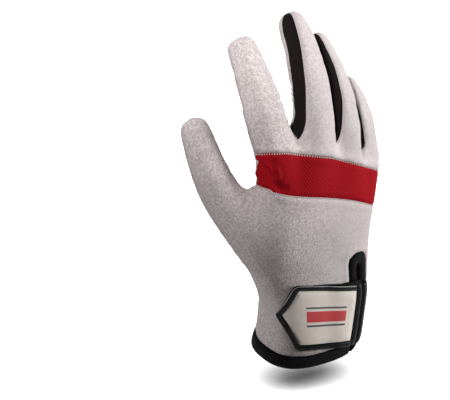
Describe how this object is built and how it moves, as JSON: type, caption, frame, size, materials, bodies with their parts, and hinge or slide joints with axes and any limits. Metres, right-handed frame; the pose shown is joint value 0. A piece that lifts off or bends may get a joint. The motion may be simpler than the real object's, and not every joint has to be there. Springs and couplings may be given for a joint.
{
  "type": "cricket batting inner glove",
  "caption": "Thin white cotton glove worn inside a batting glove: red mesh knuckle band, black mesh side strips, slit cuff with a piped closing strap.",
  "frame": {"origin": "centre of the wrist opening at the hem", "axes": "+Z from the hem to the finger tips, -Y out of the back of the hand, -X to the thumb side"},
  "size_m": [0.1437, 0.066, 0.2284],
  "materials": {
    "towelling": "brushed white cotton towelling, matt",
    "cuff_cloth": "smooth white knitted cotton, matt",
    "red_mesh": "fine red mesh knit, matt",
    "black_mesh": "fine black mesh knit, matt",
    "black_binding": "black bias binding, soft matt",
    "black_piping": "grained black synthetic leather, half gloss",
    "strap_face": "cream synthetic leather with a plain red stripe"
  },
  "bodies": {
    "root": {"palm_panel": "towelling", "finger_back": "towelling", "hand_back": "towelling", "cuff_side_panel": "cuff_cloth", "knuckle_band": "red_mesh", "fourchette_index_middle": "black_mesh", "fourchette_middle_ring": "black_mesh", "fourchette_ring_little": "black_mesh", "hem_binding": "black_binding", "slit_binding": "black_binding", "strap_binding": "black_piping", "strap_face": "strap_face", "strap_end_bar": "black_piping"}
  },
  "joints": []
}
